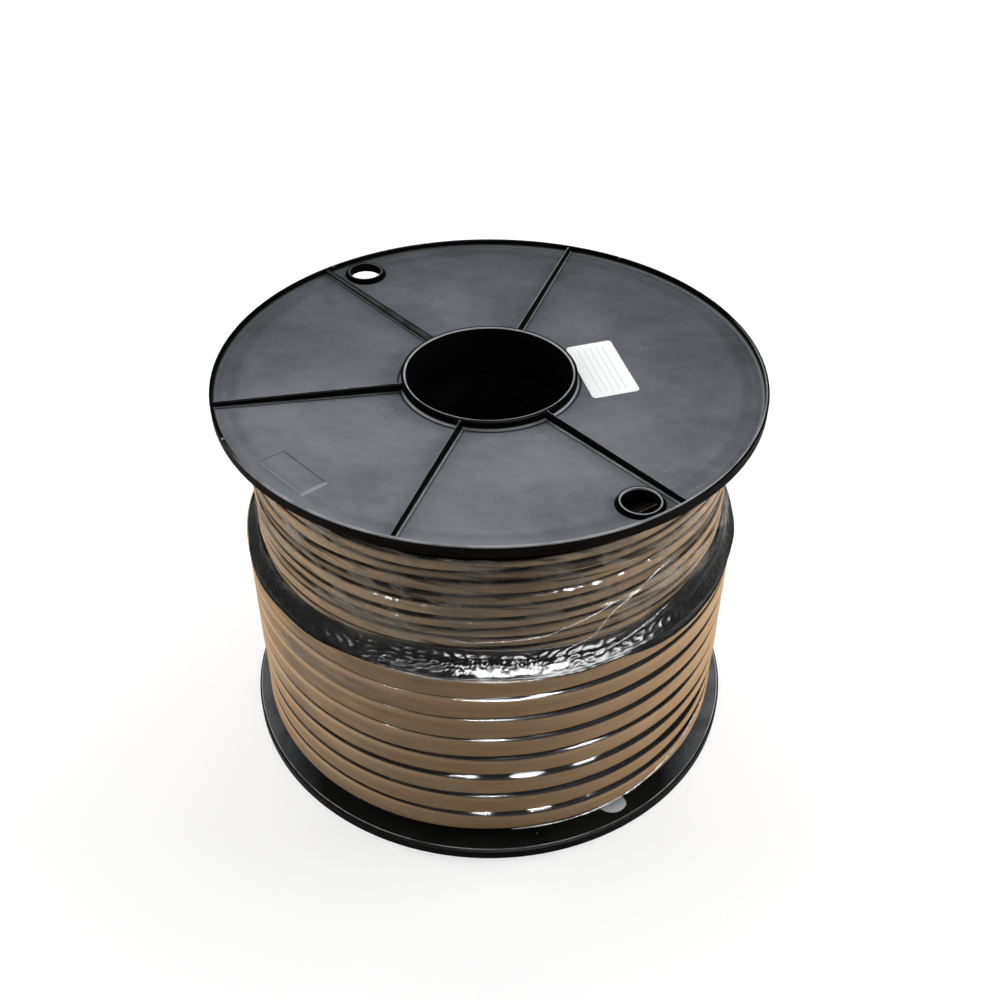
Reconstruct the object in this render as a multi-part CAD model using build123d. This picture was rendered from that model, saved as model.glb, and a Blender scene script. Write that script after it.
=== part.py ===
from build123d import *
import math
import os

# A plastic reel wound with flat twin cable, standing on its lower flange.
# Millimetres. +Z runs up the reel's axis from the floor that the lower rim stands on.
# Angles are degrees round the axis, from +X towards +Y.

# Reel
flange_diameter = 340.0
traverse = 250.0
bore_diameter = 104.0

# Flange moulding: a dished web between a raised rim and a raised hub ring
rim_height = 8.0
rim_wall = 2.0
rim_bevel = 1.2
web_thickness = 4.0
hub_wall = 2.7
hub_setback = 4.0
hub_ring_height = 6.0
spigot_length = 24.0
edge_chamfer = 0.5
foot_chamfer = 0.9

# Ribs on the outer face of the flange; the wide sector between the last and the first is plain
rib_angles = (70.0, 132.0, 193.5, 252.5, 308.5)
rib_thickness = 2.0
rib_edge_chamfer = 0.3
rib_foot_spread = 1.0
rib_foot_height = 0.4

# Drive holes, each in a raised collar
drive_hole_angles = (124.5, 302.0)
drive_hole_circle = 305.0
drive_hole_diameter = 22.0
collar_wall = 1.6
collar_height = 2.5

# Blank raised pad, midway between the third and the fourth rib
pad_length = 39.5
pad_width = 17.0
pad_height = 0.5
pad_rim_gap = 10.5

# Barrel, a plain tube on the spigots of the two flanges
barrel_wall = 3.5
barrel_clearance = 0.3

# Flat twin cable: the outermost layer covers the lower turns, the layer under it shows above
cable_width = 17.0
cable_thickness = 8.75
groove_depth = 3.0
shoulder_height = 3.0
waist_depth = 2.0
waist_shoulder = 1.5
winding_diameter = 322.0
outer_turns = 8
outer_turn_gap = 0.9
first_turn_gap = 8.0
winding_clearance = 0.3
winding_end_gap = 1.0

# Black wrap band in the step between the two layers: it slopes in at its foot, then stands nearly upright
band_height = 22.0
band_steep_height = 6.0
band_shoulder = 4.8
band_lip = 3.0

# Clear stretch film round the winding
film_thickness = 0.4
film_clearance = 0.3
film_tuck = 2.0
film_taper = 22.0

# Paper label on the upper flange, beside the hub ring
label_length = 60.0
label_width = 30.0
label_corner = 2.5
label_thickness = 0.25
label_clearance = 0.05
label_hub_gap = 1.3
label_slide = -6.5
label_angle = 13.5

# Cuts run past the faces that they open
overrun = 5.0

# Derived places of the flange, as depths below the plane of its outer rim
overall_height = traverse + 2 * rim_height
rim_radius = flange_diameter / 2
rim_inner_radius = rim_radius - rim_wall
bore_radius = bore_diameter / 2
hub_radius = bore_radius + hub_wall
rim_floor_depth = rim_height - web_thickness
hub_floor_depth = hub_setback + hub_ring_height
hub_face_depth = hub_floor_depth + web_thickness
spigot_depth = hub_face_depth + spigot_length

# Derived places of the barrel and the winding
barrel_inner_radius = hub_radius + barrel_clearance
barrel_radius = barrel_inner_radius + barrel_wall
winding_bore_radius = barrel_radius + winding_clearance
outer_layer_radius = winding_diameter / 2
inner_layer_radius = outer_layer_radius - cable_thickness
first_turn_height = rim_height + first_turn_gap
outer_pitch = cable_width + outer_turn_gap
step_height = first_turn_height + outer_turns * outer_pitch
band_foot_height = step_height + winding_clearance
band_top_height = band_foot_height + band_height


def along(start, end, share):
    return start + (end - start) * share


def floor_depth(radius):
    share = (radius - hub_radius) / (rim_inner_radius - hub_radius)
    return along(hub_floor_depth, rim_floor_depth, share)


def face_depth(radius):
    share = (radius - hub_radius) / (rim_radius - hub_radius)
    return along(hub_face_depth, rim_height, share)


def turned(*points):
    return revolve(Plane.XZ * make_face(Polyline(*points, close=True)), axis=Axis.Z)


def corner(face, radius, height):
    return face.vertices().sort_by_distance((radius, height))[0]


def flange_body():
    section = make_face(
        Polyline(
            (bore_radius, -hub_setback),
            (hub_radius, -hub_setback),
            (hub_radius, -hub_floor_depth),
            (rim_inner_radius, -rim_floor_depth),
            (rim_inner_radius, 0),
            (rim_radius, 0),
            (rim_radius, -rim_height),
            (hub_radius, -hub_face_depth),
            (hub_radius, -spigot_depth),
            (bore_radius, -spigot_depth),
            close=True,
        )
    )
    feet = [
        corner(section, hub_radius, -hub_floor_depth),
        corner(section, rim_inner_radius, -rim_floor_depth),
    ]
    section = chamfer(feet, foot_chamfer)
    edges = [
        corner(section, bore_radius, -hub_setback),
        corner(section, hub_radius, -hub_setback),
        corner(section, rim_inner_radius, 0),
        corner(section, rim_radius, 0),
    ]
    section = chamfer(edges, edge_chamfer)
    section = chamfer(corner(section, rim_radius, -rim_height), rim_bevel)
    return revolve(Plane.XZ * section, axis=Axis.Z)


def rib():
    hub_root = hub_radius - hub_wall / 2
    rim_root = rim_inner_radius + rim_wall / 2
    hub_top = -(hub_setback + edge_chamfer)
    rim_top = -edge_chamfer
    hub_foot = -(hub_floor_depth + web_thickness / 2)
    rim_foot = -(rim_floor_depth + web_thickness / 2)
    blade_side = Polyline(
        (hub_root, hub_top),
        (hub_radius, hub_top),
        (rim_inner_radius, rim_top),
        (rim_root, rim_top),
        (rim_root, rim_foot),
        (hub_root, hub_foot),
        close=True,
    )
    blade = extrude(Plane.XZ * make_face(blade_side), rib_thickness / 2, both=True)
    crest = blade.faces().filter_by(lambda face: face.normal_at().Z > 0).sort_by(SortBy.AREA)[-1]
    long_edges = crest.edges().sort_by(SortBy.LENGTH)[-2:]
    blade = chamfer(long_edges, rib_edge_chamfer)
    foot_side = Polyline(
        (hub_root, rib_foot_height - floor_depth(hub_root)),
        (rim_root, rib_foot_height - floor_depth(rim_root)),
        (rim_root, rim_foot),
        (hub_root, hub_foot),
        close=True,
    )
    foot_spread = rib_thickness / 2 + rib_foot_spread
    foot = extrude(Plane.XZ * make_face(foot_side), foot_spread, both=True)
    return blade + foot


def drive_hole_places():
    return [Rot(0, 0, angle) * Pos(drive_hole_circle / 2, 0, 0) for angle in drive_hole_angles]


def collar():
    floor = floor_depth(drive_hole_circle / 2)
    root = Pos(0, 0, -(floor + web_thickness / 2))
    height = web_thickness / 2 + collar_height
    return root * extrude(Circle(drive_hole_diameter / 2 + collar_wall), height)


def drive_hole():
    return extrude(Circle(drive_hole_diameter / 2), hub_face_depth + overrun, both=True)


def pad():
    middle = rim_inner_radius - pad_rim_gap - pad_width / 2
    outline = Pos(middle, 0, -hub_face_depth) * Rectangle(pad_width, pad_length)
    layer = turned(
        (hub_radius, pad_height - hub_floor_depth),
        (rim_inner_radius, pad_height - rim_floor_depth),
        (rim_inner_radius, -rim_floor_depth - web_thickness / 2),
        (hub_radius, -hub_floor_depth - web_thickness / 2),
    )
    return Rot(0, 0, (rib_angles[2] + rib_angles[3]) / 2) * (layer & extrude(outline, hub_face_depth))


def flange():
    body = flange_body() + pad()
    body += [Rot(0, 0, angle) * rib() for angle in rib_angles]
    body += [place * collar() for place in drive_hole_places()]
    return body - [place * drive_hole() for place in drive_hole_places()]


def upper_flange():
    return Pos(0, 0, overall_height) * flange()


def lower_flange():
    # The same moulding turned over about the line through its front drive hole
    hole = drive_hole_places()[1].position
    return flange().rotate(Axis((0, 0, 0), (hole.X, hole.Y, 0)), 180)


def barrel():
    wall = Circle(barrel_radius) - Circle(barrel_inner_radius)
    return Pos(0, 0, hub_face_depth) * extrude(wall, overall_height - 2 * hub_face_depth)


def turn_points(crest_radius, start_height, turns, pitch):
    # Flat crests with bevelled shoulders, and a groove between one turn and the next
    groove_radius = crest_radius - groove_depth
    points = [(groove_radius, start_height)]
    for turn in range(turns):
        foot = start_height + turn * pitch
        points.append((crest_radius, foot + shoulder_height))
        points.append((crest_radius, foot + pitch - shoulder_height))
        points.append((groove_radius, foot + pitch))
    return points


def twin_turn_points(crest_radius, start_height, turns, pitch):
    # The same turns with a waist along the middle, between the cable's two cores
    groove_radius = crest_radius - groove_depth
    waist_radius = crest_radius - waist_depth
    points = [(groove_radius, start_height)]
    for turn in range(turns):
        foot = start_height + turn * pitch
        middle = foot + pitch / 2
        points.append((crest_radius, foot + shoulder_height))
        points.append((crest_radius, middle - waist_shoulder))
        points.append((waist_radius, middle))
        points.append((crest_radius, middle + waist_shoulder))
        points.append((crest_radius, foot + pitch - shoulder_height))
        points.append((groove_radius, foot + pitch))
    return points


def cable_winding():
    groove_radius = inner_layer_radius - groove_depth
    bore_foot = face_depth(winding_bore_radius) + winding_end_gap
    layer_foot = face_depth(groove_radius) + winding_end_gap
    crest_top = overall_height - face_depth(inner_layer_radius) - winding_end_gap
    # Turns of the inner layer are laid from the lower flange up; the outer layer hides the first ones.
    # The outer layer lies flat under the tight film, and the inner one shows its waist.
    hidden_turns = math.ceil((step_height - layer_foot) / cable_width)
    shown_foot = layer_foot + hidden_turns * cable_width
    shown_turns = math.floor((crest_top - shown_foot - shoulder_height) / cable_width)
    last_groove = shown_foot + shown_turns * cable_width
    return turned(
        (winding_bore_radius, bore_foot),
        (groove_radius, layer_foot),
        *turn_points(outer_layer_radius, first_turn_height, outer_turns, outer_pitch),
        (groove_radius, step_height),
        *twin_turn_points(inner_layer_radius, shown_foot, shown_turns, cable_width),
        (inner_layer_radius, last_groove + shoulder_height),
        (inner_layer_radius, crest_top),
        (winding_bore_radius, overall_height - bore_foot),
    )


def band_points(offset):
    shoulder_radius = inner_layer_radius + band_shoulder
    top_radius = inner_layer_radius + band_lip
    return [
        (outer_layer_radius + offset, band_foot_height),
        (shoulder_radius + offset, band_foot_height + band_steep_height),
        (top_radius + offset, band_top_height),
    ]


def wrap_band():
    inner_radius = inner_layer_radius + winding_clearance
    return turned(
        *band_points(0),
        (inner_radius, band_top_height),
        (inner_radius, band_foot_height),
    )


def film_points(offset):
    taper_radius = inner_layer_radius + offset
    return [
        (outer_layer_radius + offset, first_turn_height - film_tuck),
        *band_points(offset),
        (taper_radius, band_top_height + film_taper),
        (taper_radius, overall_height - face_depth(taper_radius) - film_tuck),
    ]


def stretch_film():
    inside = film_points(film_clearance)
    outside = film_points(film_clearance + film_thickness)
    return turned(*outside, *reversed(inside))


def label():
    face_lift = label_clearance + label_thickness
    sheet = turned(
        (hub_radius, label_clearance - hub_floor_depth),
        (rim_inner_radius, label_clearance - rim_floor_depth),
        (rim_inner_radius, face_lift - rim_floor_depth),
        (hub_radius, face_lift - hub_floor_depth),
    )
    middle = hub_radius + label_hub_gap + label_width / 2
    outline = RectangleRounded(label_width, label_length, label_corner)
    block = Pos(middle, label_slide, -hub_face_depth) * extrude(outline, hub_face_depth)
    return Pos(0, 0, overall_height) * Rot(0, 0, label_angle) * (sheet & block)


nodes = {
    "upper_flange": upper_flange(),
    "lower_flange": lower_flange(),
    "barrel": barrel(),
    "cable_winding": cable_winding(),
    "wrap_band": wrap_band(),
    "stretch_film": stretch_film(),
    "label": label(),
}

os.makedirs("parts", exist_ok=True)
for name, shape in nodes.items():
    export_step(shape, f"parts/{name}.step")
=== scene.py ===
import math

import bpy
import numpy as np
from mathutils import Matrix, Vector

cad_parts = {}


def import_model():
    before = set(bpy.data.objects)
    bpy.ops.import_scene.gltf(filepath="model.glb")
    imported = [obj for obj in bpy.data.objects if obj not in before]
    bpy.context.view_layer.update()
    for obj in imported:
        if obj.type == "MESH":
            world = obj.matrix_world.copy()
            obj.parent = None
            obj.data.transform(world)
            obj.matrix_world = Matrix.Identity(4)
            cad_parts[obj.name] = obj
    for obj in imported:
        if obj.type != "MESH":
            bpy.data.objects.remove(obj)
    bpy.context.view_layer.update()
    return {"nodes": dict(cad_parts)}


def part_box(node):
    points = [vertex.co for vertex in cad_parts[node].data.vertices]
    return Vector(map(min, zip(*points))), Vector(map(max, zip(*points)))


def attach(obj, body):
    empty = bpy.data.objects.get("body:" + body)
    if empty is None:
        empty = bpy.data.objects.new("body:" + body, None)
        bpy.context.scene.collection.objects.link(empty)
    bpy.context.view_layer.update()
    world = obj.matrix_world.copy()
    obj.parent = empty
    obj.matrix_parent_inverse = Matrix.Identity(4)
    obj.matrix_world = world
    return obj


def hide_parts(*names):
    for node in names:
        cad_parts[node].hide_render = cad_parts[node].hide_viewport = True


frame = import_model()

# Looks of a cable reel: black ribbed flanges, brown flat twin cable, a crumpled black band and clear film.
# Metres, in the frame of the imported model. Bearings round the reel run from the front (-Y) towards +X.

BODY = "root"
SEED = 889

# Corners of the pieces, read from the frame
WINDING_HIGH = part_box("cable_winding")[1]
BAND_LOW, BAND_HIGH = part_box("wrap_band")
FILM_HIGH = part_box("stretch_film")[1]
FLANGE_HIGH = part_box("upper_flange")[1]
BARREL_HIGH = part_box("barrel")[1]

# Flat twin cable: the outermost layer covers the lower turns, the layer under it shows above
OUTER_RADIUS = WINDING_HIGH.x
CABLE_THICKNESS = 0.00875
INNER_RADIUS = OUTER_RADIUS - CABLE_THICKNESS
OUTER_TURNS = 8
OUTER_PITCH = 0.0179
OUTER_FOOT = 0.0160
OUTER_TOP = OUTER_FOOT + OUTER_TURNS * OUTER_PITCH
INNER_FOOT = 0.1545
INNER_PITCH = 0.0085
INNER_TURNS = 11
GROOVE_DEPTH = 0.0052
LAYER_GAP = 0.0002
BORE_GAP = 0.0003
BORE_RADIUS = BARREL_HIGH.x + BORE_GAP
END_SLOPE = 0.0056
END_ROUNDING = 0.0030
FOOT_INSET = 0.001
FOOT_RISE = 0.003

# How far the edges of the turns stray up and down: all together, and each by itself
OUTER_DRIFT = 0.0004
OUTER_STRAY = 0.0003
INNER_DRIFT = 0.0014
INNER_STRAY = 0.0010
INNER_STRAY_MOST = 0.0022
END_TURN_SHARE = 0.25

# Half widths of the gaps between the turns, what the right side adds, and how far they vary
OUTER_GAP = 0.0002
RIGHT_GAP = 0.0003
OUTER_GAP_STRAY = 0.00022
INNER_GAP = 0.0001
INNER_GAP_STRAY = 0.0006
INNER_GAP_MOST = 0.0011

# Outer gaps that are wider all round, and those that open out at one bearing: gap, width, bearing, reach
LOW_GAPS = (1, 2, 3)
LOW_GAP = 0.0005
RIGHT_LOW_GAP = 0.0005
OPEN_GAPS = ((4, 0.0012, 48, 7), (3, 0.0006, 38, 10), (2, 0.0021, 52, 9), (1, 0.0010, 50, 8))

# Radii of the rounded edges of the turns, and what the right side and the low turns add
OUTER_CORNER = 0.0016
RIGHT_CORNER = 0.0022
LOW_CORNER = 0.0018
INNER_CORNER = 0.0026
CORNER_STEPS = 5

# How far the faces of the turns lie below the crest, lean, and lie back under the flange at the front
OUTER_UNEVEN = 0.0002
INNER_UNEVEN = 0.0007
TURN_LEAN = 0.0002
LYING_BACK = 0.006

# Edges of the band: bearings in degrees, and heights in tenths of a millimetre
BAND_LOWER_EDGE = (
    (-180, 1595), (-110, 1600), (-78, 1597), (-64, 1550), (-48, 1548), (-38, 1550), (-30, 1565), (-20, 1580),
    (0, 1580), (14, 1568), (29, 1568), (35, 1542), (42, 1510), (50, 1512), (59, 1540), (68, 1572),
    (80, 1590), (180, 1595),
)
BAND_UPPER_EDGE = (
    (-180, 1780), (-110, 1690), (-80, 1655), (-60, 1650), (-50, 1655), (-38, 1675), (-28, 1700), (-14, 1735),
    (0, 1740), (20, 1712), (35, 1698), (45, 1715), (55, 1730), (68, 1715), (90, 1720), (180, 1780),
)
LOWER_EDGE_STRAY = 0.0005
UPPER_EDGE_STRAY = 0.0006

# Section of the band: heights, and how far its skin stands out past the outer layer
BAND_SECTION = (
    (0.1440, 0.0004), (OUTER_TOP - 0.0010, 0.0004), (OUTER_TOP, 0.0002), (OUTER_TOP + 0.0052, -0.0046),
    (BAND_HIGH.z, -0.0060),
)
BAND_DRAWN_IN = 0.0036
BEAD_SIZE = 0.0011
FINE_CRUMPLES = 0.0010
LOW_CRUMPLES = 0.0003
HIGH_CRUMPLES = 0.0007
BAND_FOLDS = 0.0003

# Where the band's upper edge comes to rest on the turns, and how far it stands off them
BAND_RESTING = 0.005
BAND_TOP_STAND = 0.0010
BAND_LEAST_STAND = 0.0008
BAND_BACK_STAND = 0.0004

# Flange: the floor of its dish rises from the hub to the rim
HUB_RADIUS = 0.0547
RIM_RADIUS = 0.1680
FLOOR_AT_HUB = 0.2560
FLOOR_AT_RIM = 0.2620

# Ribs: angle in degrees, how light the painted highlight along its foot is, and the one along its far edge
# with its side
RIBS = ((70, 0.5, 0.9), (132, 0.2, 0.2), (193.5, 0.35, -1.0), (252.5, 0.8, -0.6), (308.5, 1.0, 1.0))
DRIVE_HOLE_ANGLES = (124.5, 302.0)
# How light the painted highlight with wear on each collar's edge is
COLLAR_HIGHLIGHT_AND_WEAR = (0.25, 0.9)
DRIVE_HOLE_RADIUS = 0.1525
PAD_ANGLE = 223.0
PAD_RADIUS = 0.1490
PAD_HALF_WIDTH = 0.0085
PAD_HALF_LENGTH = 0.01975
EJECTOR_ANGLES = (208.5, 295.0)
EJECTOR_RADIUS = 0.070
LABEL_ANGLE = 13.5
LABEL_RULES = (0.0625, 0.0665, 0.0705, 0.0745, 0.0785)
RULE_ENDS = (-0.0315, 0.0185)
RULE_WIDTH = 0.0003

# Lines painted on the flanges: light ones of wear and painted highlight, dark ones of painted shade, and the
# mould's ejector rings; each from and to: beside a rib, along it, in radius, or away from a hole
RIB_FOOT = (0.0011, 0.0019)
RIB_EDGE = (0.0005, 0.0012)
RIB_SHADE = (0.0021, 0.0028)
RIB_START = (0.050, 0.052)
BORE_MOUTH = (0.0527, 0.0532)
HUB_FOOT = (0.0548, 0.0556)
HUB_SHADE = (0.0559, 0.0572)
RIM_SHADE = (0.1560, 0.1585)
RIM_CORNER = (0.1664, 0.1672)
RIM_INSIDE = (0.1678, 0.1682)
RIM_WALL = (0.1697, 0.1699)
LOWER_RIM_LINE = (0.1683, 0.1687)
COLLAR_EDGE = (0.0108, 0.0117)
COLLAR_SHADE = (0.0126, 0.0139)
EJECTOR_RING = (0.0056, 0.0059)
PAD_LINE = 0.0003

# Heights between which paint begins or ends: of the rims themselves, and over the dish
HUB_TOP = (0.2612, 0.2615)
RIM_TOP = (0.2652, 0.2656)
DUST_AND_SHEEN_END = (0.0008, 0.0012)
FOOT_END = (0.0012, 0.0016)
RIB_FOOT_END = (0.0008, 0.0011)
RIB_TOP = (0.0018, 0.0022)
COLLAR_TOP = (0.0016, 0.0020)
PAD_FOOT_END = (0.0010, 0.0014)

# Film: it stands off the cable by a hair, and slopes in over the band to the upper turns
FILM_GAP = 0.0004
FILM_SLOPE = 0.022
FILM_SLOPE_TOP = BAND_HIGH.z + FILM_SLOPE
FILM_OFF_BAND = 0.0010
FILM_STRAY = 0.00006
STRAND_LIFT = 0.0002

# Foot of the film: how far it lies in from the outer layer and below its lowest turn
FILM_FOOT = ((0.0022, 0.0019), (0.0004, 0.0002))

# Gap above the film, what the front adds, and the sizes of its pleats and crumples
FILM_TOP_GAP = 0.0005
FRONT_TOP_GAP = 0.0135
FILM_PLEATS = 0.0005
RIGHT_PLEATS = 0.0007
FILM_CRUMPLES = 0.00010
FRONT_CREASES = 0.0006

# How deep the film sinks between the turns: everywhere, right and left of the front, and its limits
FILM_SINK = 0.0004
RIGHT_SINK = 0.0008
LEFT_SINK = 0.0011
SINK_LIMITS = (0.0002, 0.0040)
FULL_SINK = 0.0024
UPPER_SINK = 0.0008
UPPER_SINK_STRAY = 0.0008
UPPER_SINK_LIMITS = (0.0001, 0.0021)
UPPER_SAG_WIDTH = 0.0016

# How deep the film sinks at the front into the gap below each outer turn; none below the first
FRONT_SINKS = (0.0, 0.0028, 0.0010, 0.0028, 0.0015, 0.0011, 0.0006, 0.0015)

# Rolled edges of film over the rest: bearings in degrees and heights along each, and its thickness
STRANDS = (
    (
        ((-26, 0.1575), (-12, 0.1574), (0, 0.1572), (9, 0.1567), (14, 0.1580), (20, 0.1635), (44, 0.179)),
        0.0008,
    ),
    (((14, 0.1700), (17, 0.1735), (22, 0.1790), (27, 0.1915), (37, 0.202), (44, 0.208)), 0.0005),
    (((-8, 0.1830), (-2, 0.1830), (12, 0.1850), (22, 0.1925), (30, 0.1985)), 0.0004),
    (((4, 0.0192), (20, 0.0190), (32, 0.0204), (41, 0.0236), (52, 0.0304), (66, 0.0420)), 0.0006),
)

# Darkest and lightest brown of each layer's sheath
OUTER_TONES = ((0.43, 0.27, 0.142, 1), (0.55, 0.375, 0.213, 1))
INNER_TONES = ((0.34, 0.222, 0.125, 1), (0.60, 0.43, 0.27, 1))

# Depths below the crests between which painted shade turns the sheath black in the gaps
OUTER_SHADE_DEPTHS = (0.0006, 0.0012)
INNER_SHADE_DEPTHS = (0.0006, 0.0016)

# Other colours
# Painted highlight along the upper edges of the outer turns
EDGE_HIGHLIGHT_TAN = (0.66, 0.48, 0.30, 1)
# Painted shade low on the outer turns
LOW_PAINTED_SHADE = (0.20, 0.125, 0.065, 1)
# Painted shade for the dark gaps between the upper turns, as dashes
DASH_PAINTED_SHADE = (0.02, 0.016, 0.012, 1)
# Painted shade deep in the gaps between the turns
GAP_PAINTED_SHADE = (0.003, 0.0025, 0.002, 1)
PLASTIC_BLACK = (0.0018, 0.0018, 0.0018, 1)
# Dust with painted sheen on the dish of the upper flange
DUST_AND_SHEEN_GREY = (0.215, 0.226, 0.250, 1)
# Scuffs with painted sheen on the outer wall of the rim
WALL_SCUFFS_AND_SHEEN = (0.014, 0.0125, 0.0105, 1)
# Wear with painted highlights on the edges of the upper flange
EDGE_WEAR_AND_HIGHLIGHT = (0.40, 0.41, 0.43, 1)
LOWER_TONES = ((0.005, 0.005, 0.005, 1), (0.013, 0.0128, 0.012, 1))
# Painted sheen out at the sides of the lower flange
LOWER_SHEEN = (0.18, 0.19, 0.21, 1)
# Wear with painted highlight along the lower flange's rim line
LOWER_EDGE_WEAR_AND_HIGHLIGHT = (0.42, 0.42, 0.43, 1)
WRAP_TONES = ((0.002, 0.002, 0.0022, 1), (0.006, 0.006, 0.007, 1))
PAPER_TONES = ((0.88, 0.89, 0.885, 1), (0.94, 0.95, 0.945, 1))
RULE_GREY = (0.3, 0.3, 0.31, 1)
LOWER_TINT = (0.27, 0.245, 0.205, 1)
UPPER_TINT = (0.46, 0.42, 0.365, 1)
STRAND_TINT = (0.80, 0.82, 0.85, 1)
FLOOR_GREY = (0.5, 0.5, 0.5, 1)

# Points round the reel on each mesh, and rows up the band and the upper film
TURN_COLUMNS = 640
INNER_COLUMNS = 360
BAND_COLUMNS = 1200
BAND_ROWS = 70
FILM_COLUMNS = 720
FILM_ROWS = 125


def generator(offset):
    return np.random.RandomState(SEED + offset)


def bearings(columns):
    return np.linspace(-math.pi, math.pi, columns, endpoint=False)


def wander(random, bearing, waves, size):
    """A smooth random line round the reel, made of whole waves that get smaller as they get shorter."""
    line = np.zeros_like(bearing)
    for wave in range(1, waves + 1):
        line += random.normal() / wave * np.cos(wave * bearing + random.uniform(0, 2 * math.pi))
    return line * size


def hump(bearing, middle, width):
    """1 at a bearing in degrees, falling off smoothly to both sides."""
    away = (np.degrees(bearing) - middle + 180) % 360 - 180
    return np.exp(-((away / width) ** 2))


def smooth(low, high, value):
    share = np.clip((value - low) / (high - low), 0, 1)
    return share * share * (3 - 2 * share)


def waves_over(random, bearing, height, count, round_waves, along_waves):
    """A patch of random waves, whole round the reel, for wrinkles and crumples."""
    field = np.zeros(np.broadcast(bearing, height).shape)
    for _ in range(count):
        around = random.randint(round_waves[0], round_waves[1] + 1)
        along = random.uniform(along_waves[0], along_waves[1]) * random.choice((-1, 1))
        field += np.cos(around * bearing + 2 * math.pi * along * height + random.uniform(0, 2 * math.pi))
    return field / math.sqrt(count)


def link(piece):
    bpy.context.scene.collection.objects.link(piece)
    return piece


def mesh_piece(name, points, faces, material, replaced):
    mesh = bpy.data.meshes.new(name)
    count, corners = faces.shape
    mesh.vertices.add(len(points))
    mesh.vertices.foreach_set("co", points.astype(np.float32).ravel())
    mesh.loops.add(faces.size)
    mesh.loops.foreach_set("vertex_index", faces.astype(np.int32).ravel())
    mesh.polygons.add(count)
    mesh.polygons.foreach_set("loop_start", np.arange(0, faces.size, corners, dtype=np.int32))
    mesh.update(calc_edges=True)
    mesh.validate()
    mesh.shade_smooth()
    mesh.materials.append(material)
    piece = link(bpy.data.objects.new(name, mesh))
    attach(piece, BODY)
    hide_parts(replaced)
    return piece


def turned_grid(radius, height, bearing, closed):
    """Points and faces of a skin whose rows run round the axis; closed joins its last row to its first."""
    rows, columns = radius.shape
    points = np.stack((radius * np.sin(bearing), -radius * np.cos(bearing), height), axis=-1).reshape(-1, 3)
    row = np.arange(rows if closed else rows - 1)[:, None]
    column = np.arange(columns)[None, :]
    next_row = (row + 1) % rows
    next_column = (column + 1) % columns
    corners = (
        row * columns + column,
        row * columns + next_column,
        next_row * columns + next_column,
        next_row * columns + column,
    )
    return points, np.stack(corners, axis=-1).reshape(-1, 4)


def outer_grooves(bearing):
    """Heights of the edges of the outer turns round the reel."""
    random = generator(1)
    common = wander(random, bearing, 3, OUTER_DRIFT)
    lines = []
    for turn in range(OUTER_TURNS + 1):
        own = wander(random, bearing, 6, OUTER_STRAY)
        share = END_TURN_SHARE if turn in (0, OUTER_TURNS) else 1.0
        lines.append(OUTER_FOOT + turn * OUTER_PITCH + share * (common + own))
    return np.array(lines)


def right_side(bearing):
    """1 on the right of the reel, 0 on its left."""
    return smooth(-0.75, 0.3, bearing) * (1 - smooth(1.9, 2.6, bearing))


def pressed(bearing, turn):
    """How tightly the upper of the outer turns lie together round the front."""
    return 0.48 * hump(bearing, -14, 26) * smooth(3, 5.5, turn)


def outer_gaps(bearing):
    """Half widths of the gaps between the outer turns: tight on the left, open on the right."""
    random = generator(11)
    right = right_side(bearing)
    lines = []
    for _ in range(OUTER_TURNS + 1):
        lines.append(OUTER_GAP + RIGHT_GAP * right + np.abs(wander(random, bearing, 9, OUTER_GAP_STRAY)))
    for turn in LOW_GAPS:
        lines[turn] += LOW_GAP + RIGHT_LOW_GAP * right
    for turn, width, middle, reach in OPEN_GAPS:
        lines[turn] += width * hump(bearing, middle, reach)
    return np.array([line * (1 - pressed(bearing, turn)) for turn, line in enumerate(lines)])


def outer_corner(bearing, turn):
    """Radius of the rounded edges of an outer turn: wide on the right and low down."""
    lowness = 1 - turn / (OUTER_TURNS - 1)
    right = right_side(bearing)
    uneven = np.clip(1 + wander(generator(20 + turn), bearing, 12, 0.3), 0.55, 1.25)
    size = OUTER_CORNER + RIGHT_CORNER * right + LOW_CORNER * lowness * (1 - right)
    return uneven * size * (1 - pressed(bearing, turn + 0.5))


def inner_grooves(bearing):
    """Heights of the edges of the cores of the layer below, from under the band up to the upper flange."""
    random = generator(2)
    common = wander(random, bearing, 4, INNER_DRIFT)
    lines = []
    for turn in range(INNER_TURNS + 1):
        own = np.clip(wander(random, bearing, 9, INNER_STRAY), -INNER_STRAY_MOST, INNER_STRAY_MOST)
        lines.append(INNER_FOOT + turn * INNER_PITCH + common + own)
    lines.append(np.full_like(bearing, WINDING_HIGH.z))
    return np.array(lines)


def inner_gaps(bearing):
    """Half widths of the gaps between the cores of the layer below."""
    random = generator(12)
    lines = []
    for _ in range(INNER_TURNS + 2):
        stray = np.abs(wander(random, bearing, 14, INNER_GAP_STRAY))
        lines.append(INNER_GAP + np.clip(stray, 0, INNER_GAP_MOST))
    return np.array(lines)


def front_window(bearing):
    """1 round the front of the reel, where the topmost turn lies back and leaves a gap under the flange."""
    return smooth(1.25, 0.85, np.abs(bearing))


def corner_shares():
    """Steps round a quarter circle: along the face, and in from it."""
    turn = np.linspace(0, math.pi / 2, CORNER_STEPS)
    return list(zip(1 - np.cos(turn), 1 - np.sin(turn)))


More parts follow.
